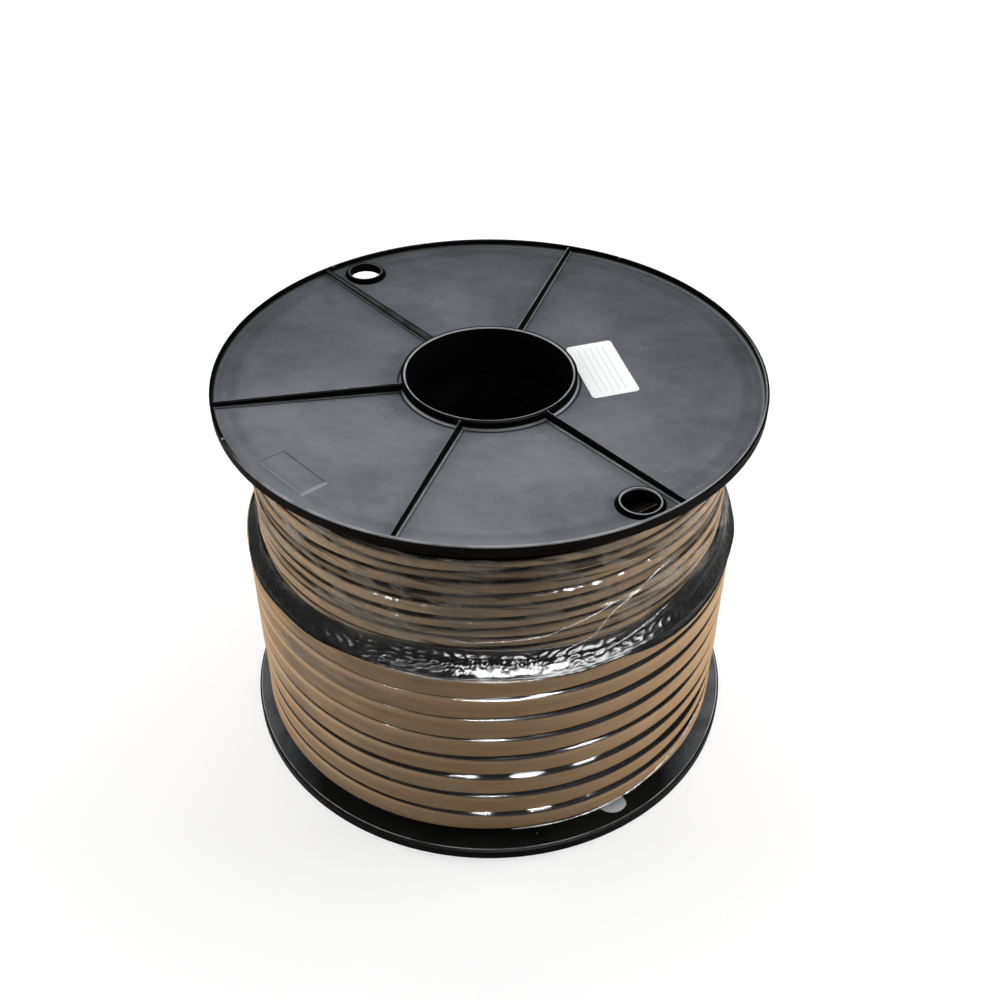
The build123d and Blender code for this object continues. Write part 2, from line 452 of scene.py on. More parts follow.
def turn_rows(crests, grooves, gaps, corners, uneven, random):
    """Rows of radius and height over a stack of turns with rounded edges and a deep gap between them."""
    radius = []
    height = []
    bearing = bearings(grooves.shape[1])
    turns = zip(crests, corners, grooves[:-1], grooves[1:], gaps[:-1], gaps[1:])
    for crest, corner, lower, upper, low_gap, high_gap in turns:
        stand = crest - np.abs(wander(random, bearing, 4, uneven))
        lean = wander(random, bearing, 3, TURN_LEAN)
        room = (upper - lower - low_gap - high_gap) / 2
        turn_corner = np.minimum(corner, room * 0.9)
        low_stand = stand - np.maximum(lean, 0)
        high_stand = stand + np.minimum(lean, 0)
        radius.append(stand - GROOVE_DEPTH)
        height.append(lower)
        for along, depth in corner_shares():
            radius.append(low_stand - turn_corner * depth)
            height.append(lower + low_gap + turn_corner * along)
        low_edge = lower + low_gap + turn_corner
        high_edge = upper - high_gap - turn_corner
        for share in (0.3, 0.7):
            radius.append(low_stand + (high_stand - low_stand) * share)
            height.append(low_edge + (high_edge - low_edge) * share)
        for along, depth in reversed(corner_shares()):
            radius.append(high_stand - turn_corner * depth)
            height.append(upper - high_gap - turn_corner * along)
    radius.append(stand - GROOVE_DEPTH)
    height.append(upper)
    return radius, height


def end_rows(radii, height, out):
    """Rows over the edges of the layers on one end of the winding; out is +1 on the upper end."""
    radius_rows = []
    height_rows = []
    shares = (1 - np.cos(np.linspace(0, math.pi, 5, endpoint=False))) / 2
    for inside, outside in zip(radii[:-1], radii[1:]):
        for share in shares:
            edge = abs(2 * share - 1)
            radius_rows.append(inside + share * (outside - inside))
            height_rows.append(height(inside) - out * END_ROUNDING * edge ** 4)
    return radius_rows, height_rows


def upper_end(at):
    """Height of the winding's upper end at a radius."""
    return WINDING_HIGH.z - END_SLOPE * (INNER_RADIUS - at) / (INNER_RADIUS - BORE_RADIUS)


def lower_end(at):
    """Height of the winding's lower end at a radius."""
    return FLANGE_HIGH.z - upper_end(at)


def outer_layer(material):
    """The outermost layer of cable: eight flat turns with rounded edges."""
    bearing = bearings(TURN_COLUMNS)
    grooves = outer_grooves(bearing)
    crests = [np.full(TURN_COLUMNS, OUTER_RADIUS)] * OUTER_TURNS
    corners = [outer_corner(bearing, turn) for turn in range(OUTER_TURNS)]
    radius, height = turn_rows(crests, grooves, outer_gaps(bearing), corners, OUTER_UNEVEN, generator(3))
    back = np.full(TURN_COLUMNS, INNER_RADIUS + LAYER_GAP)
    radius += [back, back]
    height += [height[-1], height[0]]
    points, faces = turned_grid(np.array(radius), np.array(height), bearing, True)
    return mesh_piece("cable_outer_layer", points, faces, material, "cable_winding")


def inner_layers(material):
    """The layers below as one turned skin: turns above the step, and the layers' edges on both ends."""
    bearing = bearings(INNER_COLUMNS)
    crests = [np.full(INNER_COLUMNS, INNER_RADIUS)] * (INNER_TURNS - 1)
    crests += [INNER_RADIUS - LYING_BACK * front_window(bearing)] * 2
    grooves = inner_grooves(bearing)
    corners = [INNER_CORNER] * (INNER_TURNS + 1)
    radius, height = turn_rows(crests, grooves, inner_gaps(bearing), corners, INNER_UNEVEN, generator(4))
    layers = int((INNER_RADIUS - BORE_RADIUS) / CABLE_THICKNESS)
    radii = [BORE_RADIUS] + [INNER_RADIUS - CABLE_THICKNESS * layer for layer in range(layers, -1, -1)]
    low_radius, low_height = end_rows(radii, lower_end, -1)
    high_radius, high_height = end_rows(radii, upper_end, 1)
    flat = np.ones(INNER_COLUMNS)
    radius = [flat * at for at in low_radius] + [flat * (INNER_RADIUS - FOOT_INSET)] + radius
    height = [flat * at for at in low_height] + [flat * (lower_end(INNER_RADIUS) + FOOT_RISE)] + height
    radius += [flat * at for at in reversed(high_radius)]
    height += [flat * at for at in reversed(high_height)]
    points, faces = turned_grid(np.array(radius), np.array(height), bearing, True)
    return mesh_piece("cable_inner_layers", points, faces, material, "cable_winding")


def band_edge(bearing, stops):
    """Height of an edge of the band round the reel."""
    degrees, heights = zip(*stops)
    return np.interp(np.degrees(bearing), degrees, heights) / 10000


def band_radius(height, bearing):
    """Radius of the band's skin over its height: on the outer layer's edge, then in over the step."""
    degrees = np.degrees(bearing)
    left = smooth(-50, -75, degrees) * (1 - smooth(-125, -160, degrees))
    drawn_in = BAND_DRAWN_IN * left * smooth(OUTER_TOP - 0.002, OUTER_TOP + 0.004, height)
    heights, stands = zip(*BAND_SECTION)
    return OUTER_RADIUS + np.interp(height, heights, stands) - drawn_in


def wrap_band(material):
    """Crumpled band: a rolled lower edge, fine crumples on the slope in front, and larger folds above."""
    bearing = bearings(BAND_COLUMNS)[None, :]
    share = np.linspace(0, 1, BAND_ROWS)[:, None]
    random = generator(5)
    low = band_edge(bearing, BAND_LOWER_EDGE) + wander(random, bearing, 14, LOWER_EDGE_STRAY)
    high = band_edge(bearing, BAND_UPPER_EDGE) + wander(random, bearing, 14, UPPER_EDGE_STRAY)
    height = low + share * (high - low)
    creases = 1 - np.abs(waves_over(random, bearing, height, 12, (25, 80), (90, 260)))
    wrinkles = 1 - np.abs(waves_over(random, bearing, height, 12, (110, 230), (80, 240)))
    folds = waves_over(random, bearing, height, 8, (6, 26), (5, 45))
    front = hump(bearing, 3, 14)
    slope = smooth(OUTER_TOP - 0.0004, OUTER_TOP + 0.0012, height) * (1 - smooth(0.1660, 0.1700, height))
    fine = FINE_CRUMPLES * front * slope
    above = smooth(OUTER_TOP, OUTER_TOP + 0.0025, height)
    broad = (LOW_CRUMPLES + HIGH_CRUMPLES * above) * (0.12 + 0.88 * hump(bearing, -5, 48))
    rolled = smooth(-76, -60, np.degrees(bearing))
    bead = BEAD_SIZE * rolled * np.exp(-(((height - low - BEAD_SIZE) / BEAD_SIZE) ** 2))
    radius = band_radius(height, bearing) + bead
    crumples = broad * (np.clip(creases, -0.6, 1) - 1) + fine * (np.clip(wrinkles, -0.8, 1) - 1)
    radius += crumples + BAND_FOLDS * folds
    resting = smooth(high - BAND_RESTING, high, height)
    radius += (INNER_RADIUS + BAND_TOP_STAND - radius) * resting
    radius = np.maximum(radius, INNER_RADIUS + BAND_LEAST_STAND)
    seat = np.maximum(low + 0.0001, OUTER_TOP + 0.0004)
    lip = np.minimum(OUTER_RADIUS + 0.0001, band_radius(low, bearing) - 0.0006)
    back = np.full((1, BAND_COLUMNS), INNER_RADIUS + BAND_BACK_STAND)
    radius = np.concatenate((radius, back, back, lip, lip))
    height = np.concatenate((height, high, seat, seat, low))
    points, faces = turned_grid(radius, height, bearing, True)
    return mesh_piece("crumpled_band", points, faces, material, "wrap_band")


def sag_share(across, length):
    """How far the film sinks over a gap: in under the upper turn, then out again, steep at first."""
    under = 1 - smooth(0.02, 0.9, across)
    return np.where(across > 0.02, under, np.clip(1 - (0.02 - across) / length, 0, 1) ** 2.1)


def edge_depth(away, gap, corner):
    """Depth of a turn's rounded edge below its face, at a distance from the middle of the gap."""
    along = np.clip((away - gap) / corner, 0, 1)
    return np.where(away < gap, GROOVE_DEPTH, corner * (1 - np.sqrt(1 - (1 - along) ** 2)))


def film_sink(random, bearing, turn):
    """How deep the film sinks into a gap: bridged on the left, deepest right of the front, in patches."""
    patches = np.clip(0.7 + 0.45 * waves_over(random, bearing, 0 * bearing, 8, (9, 34), (0, 0)), 0.15, 1.3)
    deepest = FRONT_SINKS[turn] * hump(bearing, 12, 24) + LEFT_SINK * hump(bearing, -38, 4)
    sink = FILM_SINK + RIGHT_SINK * right_side(bearing) + deepest * patches
    return np.clip(sink, *SINK_LIMITS)


def lower_film(material):
    """Film over the outer layer: it lies on the turns and sinks into the gaps between them."""
    bearing = bearings(FILM_COLUMNS)
    grooves = outer_grooves(bearing)
    gaps = outer_gaps(bearing)
    random = generator(6)
    crest = OUTER_RADIUS + FILM_GAP
    radius = [np.full(FILM_COLUMNS, OUTER_RADIUS - inset) for inset, _ in FILM_FOOT]
    height = [grooves[0] - drop for _, drop in FILM_FOOT]
    across = (-1, -0.8, -0.65, -0.52, -0.41, -0.31, -0.22, -0.14, -0.06, 0.02, 0.12, 0.3, 0.55, 1)
    for turn in range(OUTER_TURNS):
        if turn:
            sink = film_sink(random, bearing, turn)
            corner = outer_corner(bearing, turn - 1)
            reach = np.minimum(gaps[turn] + corner, OUTER_PITCH / 3)
            length = np.clip(0.25 + 0.75 * sink / FULL_SINK, 0.3, 1.02)
            for place in across:
                room = edge_depth(np.abs(place) * reach, gaps[turn], corner) + FILM_GAP / 2
                radius.append(crest - np.minimum(sink * sag_share(np.full_like(sink, place), length), room))
                height.append(grooves[turn] + place * reach)
        for share in (0.35, 0.65):
            radius.append(crest + wander(random, bearing, 12, FILM_STRAY))
            height.append(grooves[turn] + share * (grooves[turn + 1] - grooves[turn]))
    radius.append(np.full(FILM_COLUMNS, crest))
    height.append(grooves[-1])
    points, faces = turned_grid(np.array(radius), np.array(height), bearing, False)
    return mesh_piece("film_lower", points, faces, material, "stretch_film")


def tucked_in(bearing):
    """1 at the front and round the back, where the film lies on the band, 0 where it bridges the step."""
    degrees = np.degrees(bearing)
    front = smooth(-20, -8, degrees) * (1 - smooth(15, 24, degrees))
    return np.maximum(front, smooth(60, 72, np.abs(degrees)))


def film_radius(height, bearing):
    """The film's stand over the step and, past it, on the upper turns."""
    on_edge = OUTER_RADIUS + FILM_GAP
    on_turns = INNER_RADIUS + FILM_GAP
    on_band = band_radius(np.minimum(height, BAND_HIGH.z), bearing) + FILM_OFF_BAND
    past = np.clip((height - BAND_HIGH.z) / (FILM_SLOPE_TOP - BAND_HIGH.z), 0, 1)
    tucked = on_band + (on_turns - on_band) * past
    over = np.clip((height - OUTER_TOP) / (FILM_SLOPE_TOP - OUTER_TOP), 0, 1)
    bridged = on_edge + (on_turns - on_edge) * over
    return bridged + (np.minimum(tucked, bridged) - bridged) * tucked_in(bearing)


def upper_film(material):
    """Film over the band and the upper turns: loose, with pleats that run up and across."""
    bearing = bearings(FILM_COLUMNS)[None, :]
    share = np.linspace(0, 1, FILM_ROWS)[:, None]
    top = FILM_HIGH.z - FILM_TOP_GAP - FRONT_TOP_GAP * front_window(bearing)
    height = BAND_LOW.z + share * (top - BAND_LOW.z)
    random = generator(7)
    sag = np.zeros_like(height)
    for groove in inner_grooves(bearings(FILM_COLUMNS))[:-1]:
        sink = np.clip(UPPER_SINK + wander(random, bearing, 9, UPPER_SINK_STRAY), *UPPER_SINK_LIMITS)
        sag += sink * np.exp(-(((height - groove[None, :]) / UPPER_SAG_WIDTH) ** 2))
    sag *= smooth(BAND_HIGH.z - 0.004, BAND_HIGH.z + 0.010, height)
    pleats = np.abs(waves_over(random, bearing, height, 10, (10, 40), (4, 26)))
    crumple = waves_over(random, bearing, height, 14, (60, 140), (30, 120))
    loose = FILM_PLEATS + RIGHT_PLEATS * hump(bearing, 28, 14)
    radius = film_radius(height, bearing) - sag + loose * np.clip(0.6 - pleats, -0.8, 0.6)
    radius += FILM_CRUMPLES * crumple
    creases = np.abs(waves_over(random, bearing, height, 12, (40, 120), (60, 200)))
    low = 1 - smooth(0.1665, 0.1700, height)
    radius += FRONT_CREASES * np.clip(creases, 0, 1.5) * hump(bearing, 3, 14) * low
    points, faces = turned_grid(radius, height, bearing, False)
    return mesh_piece("film_upper", points, faces, material, "stretch_film")


def strand(path, thickness, random):
    """A rolled edge of film laid over the rest: a thin tube along bearings in degrees and heights."""
    count = 90
    sides = 8
    stops = np.linspace(0, 1, len(path))
    along = np.linspace(0, 1, count)
    bearing = np.radians(np.interp(along, stops, [stop[0] for stop in path]))
    height = np.interp(along, stops, [stop[1] for stop in path])
    smoothing = np.hanning(15) / np.hanning(15).sum()
    bearing = np.convolve(np.pad(bearing, 7, mode="edge"), smoothing, mode="valid")
    height = np.convolve(np.pad(height, 7, mode="edge"), smoothing, mode="valid")
    stand = np.where(height < BAND_LOW.z, OUTER_RADIUS + FILM_GAP, film_radius(height, bearing))
    stand = stand + STRAND_LIFT
    swell = thickness * (1 + 0.35 * np.cos(along * 31 + random.uniform(0, 6)))
    swell *= 0.15 + 0.85 * np.sin(math.pi * along) ** 0.5
    turn = np.linspace(0, 2 * math.pi, sides, endpoint=False)[None, :]
    radius = stand[:, None] + swell[:, None] * np.cos(turn)
    level = height[:, None] + swell[:, None] * np.sin(turn)
    place = bearing[:, None]
    points = np.stack((radius * np.sin(place), -radius * np.cos(place), level), axis=-1).reshape(-1, 3)
    ring = np.arange(count - 1)[:, None] * sides
    side = np.arange(sides)[None, :]
    beside = (side + 1) % sides
    corners = (ring + side, ring + beside, ring + sides + beside, ring + sides + side)
    faces = np.stack(corners, axis=-1).reshape(-1, 4)
    first = np.array(((0, 3, 2, 1), (0, 7, 4, 3), (4, 7, 6, 5)))
    last = first[:, ::-1] + (count - 1) * sides
    return points, np.concatenate((faces, first, last))


def film_strands(material):
    random = generator(8)
    points = []
    faces = []
    start = 0
    for path, thickness in STRANDS:
        strand_points, strand_faces = strand(path, thickness, random)
        points.append(strand_points)
        faces.append(strand_faces + start)
        start += len(strand_points)
    return mesh_piece(
        "film_strands", np.concatenate(points), np.concatenate(faces), material, "stretch_film"
    )


def add_node(tree, kind, inputs=None, **settings):
    made = tree.nodes.new(kind)
    for name, value in settings.items():
        setattr(made, name, value)
    for name, value in (inputs or {}).items():
        socket = made.inputs[name]
        if isinstance(value, bpy.types.NodeSocket):
            tree.links.new(value, socket)
        else:
            socket.default_value = value
    return made


def new_material(name):
    material = bpy.data.materials.new(name)
    material.use_nodes = True
    return material, material.node_tree, material.node_tree.nodes["Principled BSDF"]


def sums(operation, first, second=0.0):
    """A step of arithmetic on one or two values, of which one at least is a socket."""
    tree = (first if isinstance(first, bpy.types.NodeSocket) else second).id_data
    return add_node(tree, "ShaderNodeMath", {0: first, 1: second}, operation=operation).outputs[0]


def times(first, second):
    return sums("MULTIPLY", first, second)


def plus(first, second):
    return sums("ADD", first, second)


def minus(first, second):
    return sums("SUBTRACT", first, second)


def larger(first, second):
    return sums("MAXIMUM", first, second)


def noise(vector, scale, detail=2.0, roughness=0.5, swirl=0.0):
    inputs = {"Vector": vector, "Scale": scale, "Detail": detail}
    inputs |= {"Roughness": roughness, "Distortion": swirl}
    return add_node(vector.id_data, "ShaderNodeTexNoise", inputs).outputs["Fac"]


def ramp(value, low, high, floor=0.0, ceiling=1.0):
    inputs = {"Value": value, "From Min": low, "From Max": high, "To Min": floor, "To Max": ceiling}
    return add_node(value.id_data, "ShaderNodeMapRange", inputs).outputs["Result"]


def falling(value, low, high):
    """1 up to one value, 0 from another on."""
    return ramp(value, low, high, 1.0, 0.0)


def pulse(value, low, high, edge):
    """1 between two values, falling to 0 outside them."""
    return times(ramp(value, low - edge, low), falling(value, high, high + edge))


def blend_colours(share, first, second):
    made = add_node(share.id_data, "ShaderNodeMix", {0: share, 6: first, 7: second}, data_type="RGBA")
    return made.outputs[2]


def object_point(tree):
    return add_node(tree, "ShaderNodeTexCoord").outputs["Object"]


def parts_of(vector):
    return add_node(vector.id_data, "ShaderNodeSeparateXYZ", {0: vector}).outputs


def plan_length(x, y):
    return sums("SQRT", plus(times(x, x), times(y, y)))


def axis_radius(point):
    x, y, _ = parts_of(point)
    return plan_length(x, y)


def upward_normal(tree):
    """How far a face looks up: 1 for a level one, 0 for a wall."""
    return parts_of(add_node(tree, "ShaderNodeNewGeometry").outputs["Normal"])[2]


def outer_turn_share(height):
    """Place within an outer turn: 0 at its lower edge, 1 at its upper one."""
    return sums("FRACT", sums("DIVIDE", minus(height, OUTER_FOOT), OUTER_PITCH))


def coat(tree, shader, colour, roughness, gloss):
    """Joins colour and roughness to a shader, and sets how strongly it mirrors."""
    tree.links.new(colour, shader.inputs["Base Color"])
    tree.links.new(roughness, shader.inputs["Roughness"])
    shader.inputs["Specular IOR Level"].default_value = gloss


def stretched(vector, scale, turn=0.0):
    inputs = {"Vector": vector, "Scale": scale, "Rotation": (0, 0, turn)}
    return add_node(vector.id_data, "ShaderNodeMapping", inputs).outputs["Vector"]


def wrapped_point(tree, around, along, slant=0.0):
    """Coordinates that run round the reel and up it, scaled apart so that streaks follow the turns."""
    x, y, z = parts_of(object_point(tree))
    bearing = sums("ARCTAN2", x, times(y, -1.0))
    sine = times(sums("SINE", bearing), around)
    cosine = times(sums("COSINE", bearing), around)
    lifted = plus(z, times(sums("SINE", bearing), slant))
    height = times(lifted, along)
    return add_node(tree, "ShaderNodeCombineXYZ", {0: cosine, 1: sine, 2: height}).outputs[0]


def bump_into(tree, shader, height, strength, distance):
    bump = add_node(tree, "ShaderNodeBump", {"Height": height, "Strength": strength, "Distance": distance})
    tree.links.new(bump.outputs["Normal"], shader.inputs["Normal"])


def above_floor(point):
    """Height over the dish of the upper flange."""
    slope = (FLOOR_AT_RIM - FLOOR_AT_HUB) / (RIM_RADIUS - HUB_RADIUS)
    rise = times(minus(axis_radius(point), HUB_RADIUS), slope)
    height = parts_of(point)[2]
    return minus(minus(height, FLOOR_AT_HUB), rise)


def specks(point, scale, size):
    inputs = {"Vector": point, "Scale": scale}
    dots = add_node(point.id_data, "ShaderNodeTexVoronoi", inputs)
    small = falling(dots.outputs["Distance"], size * 0.6, size)
    chosen = ramp(parts_of(dots.outputs["Color"])[0], 0.72, 0.75)
    return times(small, chosen)


def largest(values):
    """The largest of many values, taken two at a time."""
    most = values[0]
    for value in values[1:]:
        most = larger(most, value)
    return most


def away_from(point, angle, radius):
    """Distance in plan from a spot at an angle in degrees and a radius."""
    x, y, _ = parts_of(point)
    east = minus(x, radius * math.cos(math.radians(angle)))
    north = minus(y, radius * math.sin(math.radians(angle)))
    return plan_length(east, north)


def turned_plan(point, angle):
    """Places along and across a line that leaves the axis at an angle in degrees."""
    x, y, _ = parts_of(point)
    cosine = math.cos(math.radians(angle))
    sine = math.sin(math.radians(angle))
    along = plus(times(x, cosine), times(y, sine))
    across = minus(times(y, cosine), times(x, sine))
    return along, across


def breaks(point, scale, floor=0.2):
    return ramp(noise(point, scale, 3.0), 0.36, 0.52, floor, 1.0)


def rib_paint(point, rise):
    """Light lines along the feet and the far edges of the ribs, painted highlights broken up like wear, and
    the dark line beside each foot, painted shade.
    """
    light = []
    dark = []
    inside = pulse(axis_radius(point), HUB_RADIUS, RIM_RADIUS - 0.0002, 0.0004)
    low = falling(rise, *RIB_FOOT_END)
    high = ramp(rise, *RIB_TOP)
    for angle, foot, edge in RIBS:
        along, across = turned_plan(point, angle)
        ahead = ramp(along, *RIB_START)
        away = sums("ABSOLUTE", across)
        step = times(pulse(away, *RIB_FOOT, 0.0002), low)
        far = times(across, math.copysign(1.0, edge))
        crest = times(pulse(far, *RIB_EDGE, 0.0001), high)
        lines = plus(times(step, foot), times(crest, abs(edge)))
        light.append(times(lines, ahead))
        beside = times(pulse(away, *RIB_SHADE, 0.0003), low)
        dark.append(times(beside, ahead))
    light = times(largest(light), breaks(point, 60.0, 0.55))
    return times(light, inside), times(largest(dark), inside)


def front_share(point):
    """1 from the left front over the front to the right, 0 at the back."""
    x, y, _ = parts_of(point)
    lean = minus(times(x, 0.45), y)
    return ramp(lean, 0.01, 0.09)


def rim_paint(point, radius):
    """Light line on top of the outer rim, a painted highlight round the front broken up like wear, with
    nicks.
    """
    height = parts_of(point)[2]
    end = ramp(parts_of(point)[0], 0.06, 0.14, 0.1702, 0.1686)
    outside = falling(minus(radius, end), 0.0, 0.0003)
    within = times(ramp(radius, *RIM_INSIDE), outside)
    top = times(ramp(height, *RIM_TOP), within)
    # Painted highlight round the front, broken up like wear
    highlit_and_worn = times(front_share(point), breaks(point, 45.0, 0.6))
    nicks = times(specks(point, 140.0, 0.2), 0.5)
    return times(top, plus(highlit_and_worn, nicks))


def hub_paint(point, radius, rise):
    """Light lines at the mouth of the bore and round the foot of the hub ring, painted highlights, and a
    dark one beside it, painted shade.
    """
    height = parts_of(point)[2]
    top = ramp(height, *HUB_TOP)
    mouth = times(falling(radius, *BORE_MOUTH), top)
    mouth = times(mouth, breaks(point, 50.0, 0.7))
    low = falling(rise, *FOOT_END)
    foot = times(pulse(radius, *HUB_FOOT, 0.0002), low)
    # Painted highlight, stronger at the front
    foot = times(foot, ramp(parts_of(point)[1], -0.03, 0.01, 0.95, 0.15))
    beside = times(pulse(radius, *HUB_SHADE, 0.0004), low)
    return larger(mouth, foot), beside


def edge_band(point, radius, rise):
    """Light line in the corner below the outer rim, a painted highlight stronger on the right, and a dark
    band inside it, painted shade.
    """
    corner = times(pulse(radius, *RIM_CORNER, 0.0005), falling(rise, *FOOT_END))
    right = ramp(parts_of(point)[0], -0.05, 0.08, 0.12, 0.38)
    return times(corner, right), pulse(radius, *RIM_SHADE, 0.0035)


def collar_paint(point, rise):
    """Light inner edges of the collars round the drive holes, painted highlights, and a dark line round each
    collar, painted shade.
    """
    light = []
    dark = []
    for angle, strength in zip(DRIVE_HOLE_ANGLES, COLLAR_HIGHLIGHT_AND_WEAR):
        away = away_from(point, angle, DRIVE_HOLE_RADIUS)
        top = times(pulse(away, *COLLAR_EDGE, 0.0002), ramp(rise, *COLLAR_TOP))
        light.append(times(top, strength))
        foot = falling(rise, *FOOT_END)
        dark.append(times(pulse(away, *COLLAR_SHADE, 0.0004), foot))
    return largest(light), largest(dark)


def pad_paint(point, rise):
    """Edges of the raised pad: a bright short one and a light long one, painted highlights, and dark thin
    ones, painted shade.
    """
    along, across = turned_plan(point, PAD_ANGLE)
    out = minus(along, PAD_RADIUS)
    low = falling(rise, *PAD_FOOT_END)
    lengthwise = sums("ABSOLUTE", across)
    within_length = falling(lengthwise, PAD_HALF_LENGTH, PAD_HALF_LENGTH + 2 * PAD_LINE)
    within_width = falling(sums("ABSOLUTE", out), PAD_HALF_WIDTH, PAD_HALF_WIDTH + 2 * PAD_LINE)
    near_end = (PAD_HALF_LENGTH - 0.0004, PAD_HALF_LENGTH + 0.0010)
    far_end = (-PAD_HALF_LENGTH - PAD_LINE, -PAD_HALF_LENGTH + PAD_LINE)
    outer_side = (PAD_HALF_WIDTH - PAD_LINE, PAD_HALF_WIDTH + PAD_LINE)
    inner_side = (-PAD_HALF_WIDTH - PAD_LINE, -PAD_HALF_WIDTH + PAD_LINE)
    bright = times(pulse(across, *near_end, PAD_LINE), within_width)
    outer = times(pulse(out, *outer_side, PAD_LINE), within_length)
    inner = times(pulse(out, *inner_side, PAD_LINE), within_length)
    far = times(pulse(across, *far_end, PAD_LINE), within_width)
    light = larger(times(bright, 1.3), times(outer, 0.7))
    return times(light, low), times(larger(inner, far), low)


def ejector_marks(point):
    """Thin rings left by the mould."""
    rings = []
    for angle in EJECTOR_ANGLES:
        away = away_from(point, angle, EJECTOR_RADIUS)
        rings.append(pulse(away, *EJECTOR_RING, 0.0004))
    return largest(rings)


def flange_dust_and_sheen(point, radius):
    """Dust and wiping marks on the dish of the upper flange, with painted sheen, lighter towards the front.
    """
    x, y, _ = parts_of(point)
    clouds = noise(point, 13.0, 3.0, 0.5, 0.4)
    wisps = noise(stretched(point, (1.0, 1.5, 1.0), 0.5), 70.0, 6.0, 0.7, 0.3)
    lines = add_node(point.id_data, "ShaderNodeCombineXYZ", {0: times(radius, 700.0)}).outputs[0]
    rings = times(minus(noise(lines, 1.0, 2.0), 0.5), 0.35)
    outward = times(ramp(x, 0.02, 0.1), ramp(radius, 0.11, 0.14))
    cover = plus(ramp(clouds, 0.3, 0.7, 0.74, 1.26), ramp(wisps, 0.3, 0.7, -0.13, 0.13))
    cover = plus(cover, times(rings, outward))
    cover = plus(cover, ramp(wisps, 0.64, 0.72, 0.0, 0.25))
    # Lighter towards the front, less at the sides and more at the front left: painted sheen as well as dust
    front = ramp(y, -0.16, 0.16, 0.94, 0.43)
    sides = ramp(sums("ABSOLUTE", x), 0.05, 0.15, 1.0, 0.86)
    left = times(ramp(x, -0.09, 0.0, 0.17, 0.0), falling(y, -0.08, 0.0))
    place = plus(times(front, sides), left)
    return times(cover, place)


def upper_plastic():
    """Black plastic with dust and painted sheen in the dish, bare ribs and rims, light edges of wear and
    painted highlight, and painted shade beside the feet.
    """
    material, tree, shader = new_material("reel_plastic_dust_and_sheen")
    point = object_point(tree)
    radius = axis_radius(point)
    rise = above_floor(point)
    normal = upward_normal(tree)
    flat = times(ramp(normal, 0.6, 0.9), falling(rise, *DUST_AND_SHEEN_END))
    rib_light, rib_dark = rib_paint(point, rise)
    hub_light, hub_dark = hub_paint(point, radius, rise)
    edge_light, edge_dark = edge_band(point, radius, rise)
    collar_light, collar_dark = collar_paint(point, rise)
    pad_light, pad_dark = pad_paint(point, rise)
    # Painted shade beside the feet and inside the rim, with the mould's ejector rings
    shades = (
        (rib_dark, 0.55), (hub_dark, 0.75), (collar_dark, 1.0), (pad_dark, 0.8), (edge_dark, 0.16),
        (ejector_marks(point), 0.22),
    )
    dark = largest([times(shade, strength) for shade, strength in shades])
    # Dust with painted sheen, thinned where painted shade lies beside the feet
    dust_and_sheen = times(flange_dust_and_sheen(point, radius), flat)
    dust_and_sheen = times(dust_and_sheen, minus(1.0, dark))
    colour = blend_colours(dust_and_sheen, PLASTIC_BLACK, DUST_AND_SHEEN_GREY)
    # Outer wall of the rim: scuffs with painted sheen, a little lighter and warmer than the black
    wall = times(ramp(radius, *RIM_WALL), falling(normal, 0.3, 0.5))
    scuffs_and_sheen = ramp(noise(wrapped_point(tree, 4.0, 300.0), 1.0, 3.0), 0.3, 0.7, 0.4, 1.0)
    colour = blend_colours(times(wall, scuffs_and_sheen), colour, WALL_SCUFFS_AND_SHEEN)
    spots = times(specks(point, 70.0, 0.045), flat)
    rim_light = rim_paint(point, radius)
    # Light edges: painted highlights with wear, and specks
    light = largest([rib_light, rim_light, hub_light, edge_light, collar_light, pad_light, spots])
    colour = blend_colours(light, colour, EDGE_WEAR_AND_HIGHLIGHT)
    coat(tree, shader, colour, ramp(dust_and_sheen, 0.0, 1.0, 0.45, 0.6), 0.0035)
    bump_into(tree, shader, noise(point, 260.0, 4.0, 0.7), 0.12, 0.0004)
    return material


def lower_plastic():
    """The same plastic where nothing settles on it: a line of wear and painted highlight at the rim, and a
    painted sheen out at the sides.
    """
    material, tree, shader = new_material("reel_plastic")
    point = object_point(tree)
    x = parts_of(point)[0]
    radius = axis_radius(point)
    clouds = noise(point, 40.0, 4.0, 0.6)
    upward = ramp(upward_normal(tree), 0.85, 0.95)
    colour = blend_colours(clouds, *LOWER_TONES)
    # Painted sheen on the upward faces out at the left and right
    sheen = plus(ramp(x, -0.160, -0.110, 0.7, 0.0), ramp(x, 0.115, 0.160, 0.0, 0.75))
    sheen = times(times(sheen, upward), ramp(clouds, 0.35, 0.6, 0.5, 1.0))
    colour = blend_colours(sheen, colour, LOWER_SHEEN)
    # Painted highlight along the rim line, with wear and nicks
    line = times(pulse(radius, *LOWER_RIM_LINE, 0.0002), upward)
    highlit_and_worn = times(line, breaks(point, 50.0, 0.35))
    highlit_and_worn = larger(highlit_and_worn, times(specks(point, 90.0, 0.05), 0.5))
    colour = blend_colours(highlit_and_worn, colour, LOWER_EDGE_WEAR_AND_HIGHLIGHT)
    coat(tree, shader, colour, ramp(clouds, 0.3, 0.7, 0.3, 0.45), 0.007)
    bump_into(tree, shader, noise(point, 260.0, 4.0, 0.7), 0.1, 0.0004)
    return material


def painted_edge_highlights(tree):
    """1 along the upper edge of each outer turn, on the left: a painted highlight where the light comes down
    on it.
    """
    x, _, z = parts_of(object_point(tree))
    edge = pulse(outer_turn_share(z), 0.80, 0.90, 0.06)
    return times(edge, ramp(x, -0.13, 0.02, 0.8, 0.15))


